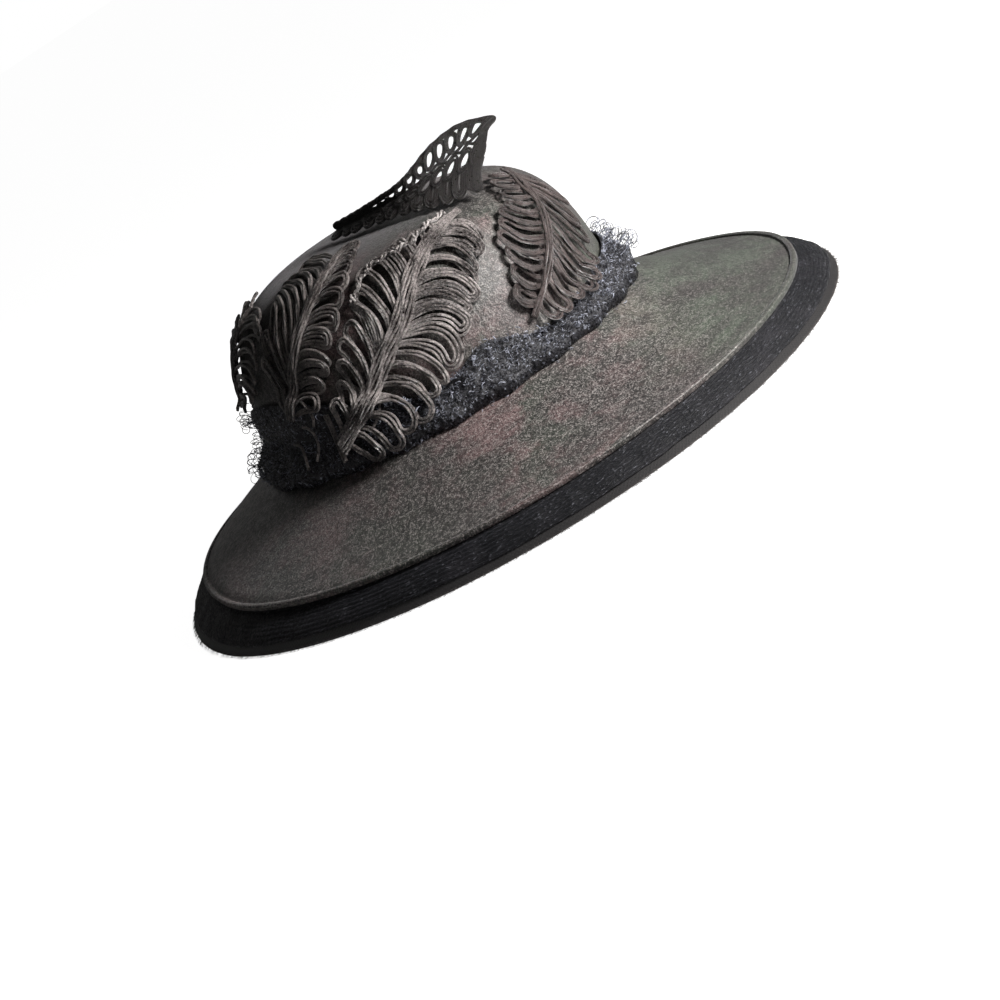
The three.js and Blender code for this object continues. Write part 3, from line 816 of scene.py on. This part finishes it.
def netFinish():
    netting = Finish("crumpledNet")
    place = netting.objectPlace()
    knots = netting.noise(netting.grainPlace(*netBand["grain"]), 1.0, 3, 0.7)
    folds = netting.noise(place, 330, 4, 0.7)
    glint = netting.ease(knots, 0.54, 0.66) * netting.ease(folds, 0.42, 0.60)
    return netting.shader({
        "Base Color": netting.mixColor(glint, netBand["color"], netBand["glint"]),
        "Roughness": 0.5,
        "Specular IOR Level": 0.5,
        "Alpha": netting.patches(place, 900, 2, 0.6, 0.36, 0.5),
        "Normal": netting.bump(folds + knots * 0.7, 0.9, 0.0012),
    })


def netShadeFinish():
    core = Finish("netShade")
    folds = core.noise(core.objectPlace(), 420, 4, 0.7)
    color = core.mixColor(core.ease(folds, 0.5, 0.75), netBand["shade"], netBand["shadeGlint"])
    return core.shader({"Base Color": color, "Roughness": 0.7, "Normal": core.bump(folds, 0.9, 0.0015)})


def makeNet():
    pieces = []
    for name, depth, lift, seed, finish, node in (
        ("netVeil", 0.0, 0.2, 1.0, netFinish(), "net_band"),
        ("netUnder", netBand["pull"], 0.0, 9.0, netShadeFinish(), None),
    ):

        def place(azimuth, across):
            points = netSurface(azimuth, across, depth)
            calm = np.minimum(across / 0.1, 1) * np.minimum((1 - across) / 0.06, 1)
            crumple = wander(points, 4.2, seed) + 0.6 * wander(points, 1.9, seed + 3)
            crumple = crumple + 0.5 * wander(points, 11, seed)
            amount = netBand["crumple"] * (crumple * 0.8 + lift)
            amount = np.where(across > 0.75, np.maximum(amount, -0.3) * 0.6, amount)
            return points + unit(outwardAt(azimuth, 0.55)) * (amount * calm)[:, None] + middle

        sheet = wrappedSheet(name, netBand, place)
        settle(sheet, finish, node)
        pieces.append(sheet)
    return pieces


netThreads = {
    "radius": 0.12, "seed": 11, "count": 2000, "size": (0.9, 2.2),
    "flapSize": 0.6,  # how much smaller they are on the flap
    # loose curls: azimuth from and to, how many, and their size from and to
    "curls": [
        (136, 162, 55, (2.5, 5.5)), (303, 332, 60, (3.0, 6.5)),
        (0, 360, 90, (2.5, 4.5)), (200, 300, 170, (1.4, 3.0)),
    ],
    "curlRadius": 1.35,  # as a share of the others'
    "dark": (0.008, 0.008, 0.012, 1),
    "pale": (0.24, 0.255, 0.31, 1),
}


def threadFinish():
    thread = Finish("netThread")
    glint = thread.patches(thread.objectPlace(), 260, 3, 0.55, 0.42, 0.62)
    tone = thread.mixColor(glint, netThreads["dark"], netThreads["pale"])
    return thread.shader({"Base Color": tone, "Roughness": 0.4, "Specular IOR Level": 0.6})


# A place on the net and three ways from it: away from the net, sideways and askew.
def spotOnNet(rng, azimuths, shares, ups=None):
    azimuth, across = rng.uniform(*azimuths), rng.uniform(*shares)
    base = netSurface(np.array([azimuth]), np.array([across]), 0.0)[0] + middle
    away = unit(outwardAt(azimuth, rng.uniform(*ups) if ups else 0.5))
    side = unit(np.cross(away, rng.normal(size=3)))
    return base, np.array([away, side, np.cross(away, side)]), across


def makeThreads():
    rng = np.random.default_rng(netThreads["seed"])
    paths = []
    for _ in range(netThreads["count"]):
        base, ways, across = spotOnNet(rng, (0, 360), (0.12, 0.97))
        size = rng.uniform(*netThreads["size"])
        if across > netBand["flapFrom"]:
            size *= netThreads["flapSize"]
        swing = np.linspace(0, rng.uniform(1.1, 1.7) * math.pi, 8)
        askew = np.sin(swing) * rng.uniform(-0.5, 0.5)
        steps = np.stack([np.sin(swing * 0.62) * 0.75, (1 - np.cos(swing)) * 0.5, askew], -1)
        paths.append(base + size * steps @ ways)
    for low, high, count, sizes in netThreads["curls"]:
        for _ in range(count):
            base, ways, across = spotOnNet(rng, (low, high), (0.3, 1.0), (0.1, 0.9))
            size = rng.uniform(*sizes)
            swing = np.linspace(0, rng.uniform(1.2, 2.4) * math.pi, 14)
            lift = (1 - np.cos(swing)) * 0.55 + 0.12 * swing
            steps = np.stack([lift, np.sin(swing) * 0.5, stray(rng, 0.15) * swing], -1)
            paths.append(base + size * steps @ ways)
    curls = len(paths) - netThreads["count"]
    widths = [1.0] * netThreads["count"] + [netThreads["curlRadius"]] * curls
    threads = cordsPiece("netThreads", paths, netThreads["radius"], sides=0, widths=widths)
    settle(threads, threadFinish())
    return threads


veil, under = makeNet()
threads = makeThreads()
print("hat: net band")


leafCord = {
    "radius": 0.74, "pitch": 1.46,
    "shingle": 2.0,  # how much higher a loop's tip side lies than its stem side
    "ribPitch": 1.4, "ribLift": 1.7, "ribDome": 0.7, "step": 1.5, "lift": 0.8,
    "looped": 0.92,  # the share of the rib that carries loops
    "openings": [0.6, 1.2, 1.8],  # half the width left open in a loop
    "footOpening": 2.0, "seed": 5,
    "color": (0.022, 0.017, 0.016, 1),
    "pale": (0.26, 0.23, 0.22, 1),
    "cleft": (0.006, 0.005, 0.005, 1),
}

# the rib is rows of azimuth and rise on the crown, and along is the share of its length at each width;
# widths, slants and bows are given for its two sides; the first loops of a side can be left wide open
lyingLeaves = [
    {
        "name": "leafFrontRight", "node": "leaf_front_right", "lift": 0.1,
        "loops": 14, "ribCords": 6, "openLoops": 5,
        "rib": [(194, 0.047), (205.5, 0.125), (215.8, 0.235), (223.5, 0.315)]
        + [(231.5, 0.44), (242.5, 0.56), (254.5, 0.622), (267, 0.632)],
        "along": [0, 0.12, 0.3, 0.45, 0.6, 0.72, 0.85, 1],
        "plus": [17, 26, 30, 32, 32, 30, 24, 11],
        "minus": [14, 20, 27, 28, 21, 13, 8, 6],
        "slant": (0.12, 0.75), "bow": (0.95, 0.75),
        # painted light: a paler cord tone, as this leaf lies turned from the key lamp
        "pale": (0.46, 0.415, 0.40, 1),
    },
    {
        "name": "leafRight", "node": "leaf_right", "lift": 0,
        "loops": 11, "ribCords": 4, "openLoops": 0,
        "rib": [(180.5, 0.17), (188.5, 0.418), (195.5, 0.569), (201.5, 0.714), (207, 0.84), (211, 0.93)],
        "along": [0, 0.25, 0.5, 0.75, 1],
        "plus": [16, 20, 20, 15, 9],
        "minus": [25, 36, 36, 31, 20],
        "slant": (0.35, 0.85), "bow": (0.8, 0.5),
    },
    {
        "name": "leafBackRight", "node": "leaf_back_right", "lift": 0,
        "loops": 9, "ribCords": 4, "openLoops": 0,
        "rib": [(142, 0.22), (145, 0.38), (148, 0.54), (151, 0.74)],
        "along": [0, 0.3, 0.6, 1],
        "plus": [20, 32, 32, 16],
        "minus": [18, 28, 27, 11],
        "slant": (0.4, 0.4), "bow": (0.8, 0.8),
    },
    {
        "name": "leafFrontLeft", "node": "leaf_front_left", "lift": 0.5,
        "loops": 10, "ribCords": 3, "openLoops": 9,
        "rib": [(298, 0.595), (291, 0.504), (285.5, 0.383), (278.4, 0.272)]
        + [(272, 0.198), (265.7, 0.141), (259.6, 0.097), (254.1, 0.062)],
        "along": [0, 0.12, 0.28, 0.43, 0.57, 0.7, 0.85, 1],
        "plus": [10, 14, 18, 23, 25, 22, 15, 7],
        "minus": [15, 25, 29, 29, 25, 18, 11, 7],
        "slant": (-0.15, 0.55), "bow": (1.0, 0.5),
        # painted shade: a darker cord tone, as this leaf faces the key lamp
        "pale": (0.125, 0.098, 0.094, 1),
    },
]


def cordFinish(name, pale, color=leafCord["color"]):
    cord = Finish(name)
    place = cord.objectPlace()
    u, v = cord.uvParts()
    turns = cord.maths("SINE", u * 10 + v * 330)
    fibre = cord.noise(place, 950, 3, 0.7)
    share = cord.patches(place, 70, 4, 0.6, 0.40, 0.62) * 0.45 + cord.ease(fibre, 0.45, 0.68) * 0.5
    tone = cord.mixColor(share, color, pale)
    return cord.shader({
        "Base Color": cord.mixColor(cord.ease(fibre, 0.44, 0.33) * 0.8, tone, leafCord["cleft"]),
        "Roughness": cord.ease(fibre, 0.3, 0.7, 0.26, 0.44),
        "Specular IOR Level": 0.8,
        "Normal": cord.bump(turns * 0.35 + fibre, 0.7, 0.0006),
    })


# One cord of a loop in the leaf's own plan: out along the tip side, round, and back on the stem side.
def loopPath(root, width, half, offset, slant, bow):
    inner = max(width - half, 1.0)
    count = max(int(inner / leafCord["step"]), 5)
    across = 1.0 + (inner - 1.0) * np.linspace(0.0, 1.0, count)
    lean = slant + bow * (1 - 2 * across / width)
    along = root + slant * across + bow * across * (1 - across / width)
    normal = unit(np.stack([-lean, np.ones_like(lean)], -1))
    axis = np.stack([across, along], -1)
    apart = offset * (0.5 + 0.5 * smoothStep(across, 0, inner * 0.6))
    swing = np.linspace(0, math.pi, max(int(math.pi * offset / 1.2), 3) + 2)[1:-1]
    angle = math.atan2(normal[-1, 1], normal[-1, 0]) - swing
    cap = axis[-1] + offset * np.stack([np.cos(angle), np.sin(angle)], -1)
    upper = axis + normal * apart[:, None]
    lower = axis - normal * apart[:, None]
    return np.vstack([upper, cap, lower[::-1]]), np.r_[apart, offset * np.cos(swing), -apart[::-1]]


# Every cord of a leaf, as rows of across, along and lift.
def leafPlan(length, leaf, rng):
    pitch = leafCord["looped"] * length / leaf["loops"]
    cords = []
    for sign, widths, slant, bow in (
        (1, leaf["plus"], leaf["slant"][0], leaf["bow"][0]),
        (-1, leaf["minus"], leaf["slant"][1], leaf["bow"][1]),
    ):
        for i in range(leaf["loops"]):
            root = pitch * (i + 0.3 + stray(rng, 0.12))
            width = float(np.interp(root / length, leaf["along"], widths)) * (1 + stray(rng, 0.07))
            lean = slant + stray(rng, 0.1)
            half = min(pitch * 0.58 / math.hypot(1, 0.7 * slant) + 0.3, width * 0.42)
            wide = i < leaf["openLoops"]
            opening = leafCord["footOpening"] if wide else rng.choice(leafCord["openings"])
            rise = stray(rng, 0.35)
            arch = bow * (1 + stray(rng, 0.25))
            shift = -(lean * 0.5 + arch * 0.25) * width * 0.35
            offset = half - leafCord["radius"]
            while offset > opening:
                path, side = loopPath(root + shift, width, half, offset, lean, arch)
                lift = leafCord["lift"] + rise + leafCord["shingle"] * (0.5 + 0.5 * side / half)
                lift = lift + 0.25 * np.sin(path[:, 0] * 0.5 + rng.uniform(0, 6))
                lift = lift * (0.8 + 0.2 * smoothStep(path[:, 0], 1, 6))
                cords.append(np.c_[sign * path[:, 0], path[:, 1], lift])
                offset -= leafCord["pitch"] * (1 + stray(rng, 0.1))
    along = np.arange(-2, length - 3, leafCord["step"])
    taper = 1 - 0.6 * smoothStep(along, length * 0.6, length)
    sink = 1 - 0.3 * smoothStep(along, length * 0.8, length)
    for j in range(leaf["ribCords"]):
        across = (j - (leaf["ribCords"] - 1) / 2) * leafCord["ribPitch"]
        sway = 0.35 * np.sin(along * 0.28 + j * 1.7)
        dome = leafCord["ribDome"] * (1 - (across / (leaf["ribCords"] * leafCord["ribPitch"] * 0.55)) ** 2)
        lift = leafCord["lift"] + leafCord["ribLift"] + dome + 0.2 * np.sin(along * 0.4 + j * 2.3)
        cords.append(np.c_[across * taper + sway, along, lift * sink])
    return cords


# A line laid on the crown through stations of azimuth and rise, over the net unless it's told not to.
def laidLine(stations, lift, clearNet=1):
    onCloth, normal = ontoCrown(crownPoint(*np.array(stations).T))
    return SmoothLine(onCloth + normal * (lift + clearNet * overNet(onCloth))[:, None])


# Places along such a line, with the crown's normal and the way sideways.
def alongLine(line, along):
    place, heading = line.read(along)
    _, normal = ontoCrown(place)
    return place, normal, unit(np.cross(heading, normal))


def makeLeaf(leaf, material, rng):
    line = laidLine(leaf["rib"], 1.4, clearNet=0)
    paths = []
    for plan in leafPlan(line.length, leaf, rng):
        place, _, sideways = alongLine(line, plan[:, 1])
        place = place + sideways * plan[:, :1]
        onCloth, normal = ontoCrown(place)
        lift = 1.0 + leaf["lift"] + plan[:, 2] + overNet(place)
        paths.append(onCloth + normal * lift[:, None] + middle)
    settle(cordsPiece(leaf["name"], paths, leafCord["radius"]), material, leaf["node"])


# Cords that leave the leaves' feet and curl on the net, as rows of azimuth and rise on the crown.
looseCords = {
    "radius": 0.72, "lift": 2.2,
    "doubled": 2,  # how many of the first lines are two cords side by side
    "gap": 0.75,
    "lines": [
        [(191.4, 0.131), (191.0, 0.087), (191.6, 0.048), (192.6, 0.012)],
        [(199.0, 0.195), (202.6, 0.165), (203.6, 0.12), (201.9, 0.071)],
        [(196.5, 0.155), (198.9, 0.13), (199.0, 0.09), (196.7, 0.05)],
        [(184.5, 0.215), (186.6, 0.18), (186.9, 0.138), (185.5, 0.11)],
        [(181.5, 0.12), (183.9, 0.10), (184.6, 0.06), (183.9, 0.03)],
        [(174.5, 0.075), (177.5, 0.065), (179.6, 0.04), (180.4, 0.02)],
        [(205.5, 0.155), (207.5, 0.12), (206.5, 0.075), (203.5, 0.05)],
    ],
}
# The twisted edging that runs past the front leaf's tips; its pale tone is painted highlight on the curls.
edging = {
    "radius": 0.62, "lift": 4.6, "twist": 5.2, "wave": 8.5,
    "line": [(258.5, 0.665), (255.9, 0.669), (246.9, 0.663), (240.1, 0.630)]
    + [(233.2, 0.641), (223.3, 0.635), (217.0, 0.571), (213.5, 0.50)],
    "pale": (0.85, 0.79, 0.77, 1),
}


def makeLooseCords(material):
    paths = []
    for i, stations in enumerate(looseCords["lines"]):
        line = laidLine(stations, looseCords["lift"])
        place, _, sideways = alongLine(line, np.linspace(0, line.length, 16))
        gap = looseCords["gap"]
        for across in (-gap, gap) if i < looseCords["doubled"] else (0.0,):
            paths.append(place + sideways * across + middle)
    settle(cordsPiece("leafLooseCords", paths, looseCords["radius"]), material)


def makeEdging(material):
    line = laidLine(edging["line"], edging["lift"])
    along = np.arange(0, line.length, 0.6)
    place, normal, sideways = alongLine(line, along)
    turn = along * 2 * math.pi
    paths = []
    for start in (0, math.pi):
        angle = turn / edging["twist"] + start
        across = (0.75 + 0.5 * np.sin(turn / edging["wave"])) * np.cos(angle)
        across = across + 0.9 * np.sin(turn / edging["wave"] + 0.6)
        paths.append(place + sideways * across[:, None] + normal * (0.6 * np.sin(angle))[:, None] + middle)
    settle(cordsPiece("leafEdging", paths, edging["radius"]), material)


crest = {
    "radius": 0.80,
    "holes": 17,  # small openings under the crest's outline
    "wideHoles": 13,  # larger ones below them
    "fillLoops": 12,
    "tipOut": 4,  # how far its tip leans out
    "hollow": 14,  # how far the blunt end draws in towards its foot
    "side": -1.0,  # how far the cords stand off the rib's own plane
    "ribShare": 0.4,  # the rib's place between the top, 0, and the foot, 1
    "footLift": 2.35,
    "pale": (0.014, 0.011, 0.0105, 1),
    "color": (0.008, 0.0065, 0.0062, 1),
    # rib x, y, z; how far the top stands over it; foot x, y and its height over the crown
    "rows": [
        (-3, 25, 128, 4, -11, 25, 0),
        (-4.5, -5, 130.4, 5, -14, -6, 0),
        (-1.5, -32, 133, 6.5, -12, -34, 0),
        (8.5, -50, 137, 10.1, -6, -54, 0),
        (18.5, -63, 139.4, 9.8, 6, -66, 3.5),
        (28, -75, 140.4, 4.6, 22, -75.5, 12),
    ],
}


def makeCrest(material, rng):
    rows = np.array(crest["rows"], dtype=float)
    rib = rows[:, :3]
    top = rib + rows[:, 3:4] * np.array([0, 0, 1])
    flat = np.linalg.norm((rows[:, 4:6] - crownCentre[:2]) / crownRadii[:2], axis=1)
    room = np.maximum(1 - flat ** crown["planPower"], 0)
    cap = crown["foot"] + crown["height"] * room ** (1 / crown["capPower"])
    foot = np.c_[rows[:, 4:6], cap + crest["footLift"] + rows[:, 6]]
    ribLine, topLine, footLine = SmoothLine(rib), SmoothLine(top), SmoothLine(foot)
    length, ribShare = ribLine.length, crest["ribShare"]
    paths = []

    # a cord on the crest: millimetres along the rib, the share down from the top, and the lift off it
    def addCord(along, down, lift):
        reach = crest["tipOut"] * (1 - smoothStep(down, 0.1, 0.35))
        reach = reach - crest["hollow"] * smoothStep(down, 0.1, 0.85)
        along = along + reach * np.clip(along / length, 0, 1) ** 3
        place, heading = ribLine.read(along)
        knot = ribLine.knotAt(along)
        over, below = topLine.atKnot(knot), footLine.atKnot(knot)
        face = unit(np.cross(over - below, heading))
        upShare = np.clip((ribShare - down) / ribShare, 0, 1)[:, None]
        downShare = np.clip((down - ribShare) / (1 - ribShare), 0, 1)[:, None]
        spot = place + (over - place) * upShare + (below - place) * downShare
        stand = np.broadcast_to(lift + crest["side"], along.shape)
        paths.append(spot + face * stand[:, None] + middle)

    # the height of the crest at each place, so that rings stay round
    def heightAt(along):
        knot = ribLine.knotAt(along)
        return np.linalg.norm(topLine.atKnot(knot) - footLine.atKnot(knot), axis=-1)

    # two cords along the top, which round off the blunt end, and two along the rib
    full = np.linspace(0, length, 110)
    rounding = smoothStep(full, length - 6, length)
    scallop = 0.35 * np.abs(np.sin(full * math.pi * crest["holes"] / length))
    for inset in (0.0, 1.25):
        down = (0.6 + inset) / heightAt(full) + 0.16 * rounding**2 + scallop / heightAt(full)
        addCord(full - inset * rounding, down, 0.3)
    for down in (0.385, 0.43):
        wave = 0.018 * np.sin(full * math.pi * crest["wideHoles"] * 2 / length + down * 90)
        addCord(full, down + wave, 0.4)

    # rings round the openings, with a second cord inside each: how many, top, bottom, lift, inset
    turn = np.linspace(0, 2 * math.pi, 20)
    for count, high, low, lift, inner in (
        (crest["holes"], 0.06, 0.36, 0.0, 0.85),
        (crest["wideHoles"], 0.44, 0.68, 0.2, 1.3),
    ):
        pitch = length / count
        wide = pitch * 0.5 - 0.1
        for i in range(count):
            along = pitch * (i + 0.5 + stray(rng, 0.06))
            down = (high + low) / 2 + stray(rng, 0.012)
            tall = (low - high) / 2 * (1 + stray(rng, 0.06))
            lean = stray(rng, 0.6)
            room = max(tall * heightAt(along), 1.2)
            for inset in (0.0, inner * rng.uniform(0.6, 1.3)):
                squeeze = tall * (1 - min(inset / room, 0.7))
                across = (wide - inset) * np.cos(turn) + lean * np.sin(turn)
                addCord(along + across, down + squeeze * np.sin(turn), lift + 0.25 * np.cos(turn))

    # loops that fill its lower part, three cords deep
    pitch = length / crest["fillLoops"]
    for i in range(crest["fillLoops"]):
        root = pitch * (i + 0.5 + stray(rng, 0.1))
        tall = heightAt(root)
        bottom = 1 - (pitch * 0.5 + 0.4) / tall
        start = min(0.62, bottom - 0.02)
        leg = np.linspace(start, bottom, 6)
        tilt = 2.5 + stray(rng, 1.5)
        swing = np.linspace(0, math.pi, 9)
        for inset in (0.3, 1.75, 3.2):
            offset = pitch * 0.5 - inset
            down = np.r_[leg, bottom + offset * np.sin(swing) / tall, leg[::-1]]
            across = np.r_[np.full(6, offset), offset * np.cos(swing), np.full(6, -offset)]
            lift = 0.5 + 0.5 * across / pitch + 0.3 * rng.uniform(0, 1)
            addCord(root + across - tilt * (down - start), down, lift)

    # cords that close the blunt end
    for inset in (0.2, 1.6, 3.0, 4.4):
        down = np.linspace(0.10, 0.97, 24)
        addCord(length - inset - 1.5 * smoothStep(0.3 - down, 0, 0.3), down, 0.2)
    settle(cordsPiece("leafCrest", paths, crest["radius"]), material, "leaf_crest")


gimp = cordFinish("gimpCord", leafCord["pale"])
leafChance = np.random.default_rng(leafCord["seed"])
for leaf in lyingLeaves:
    # the front leaves get their own copies of the cord finish: paler as painted light on the front right
    # leaf, darker as painted shade on the front left
    wearAndPaintedLight = cordFinish(f"{leaf['name']}Gimp", leaf["pale"]) if "pale" in leaf else gimp
    makeLeaf(leaf, wearAndPaintedLight, leafChance)
makeLooseCords(gimp)
makeEdging(cordFinish("paleGimp", edging["pale"]))
makeCrest(cordFinish("darkGimp", crest["pale"], crest["color"]), leafChance)
print("hat: leaves")


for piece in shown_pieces():
    count = sum(len(face.vertices) - 2 for face in piece.data.polygons)
    print("piece", piece.name, count)
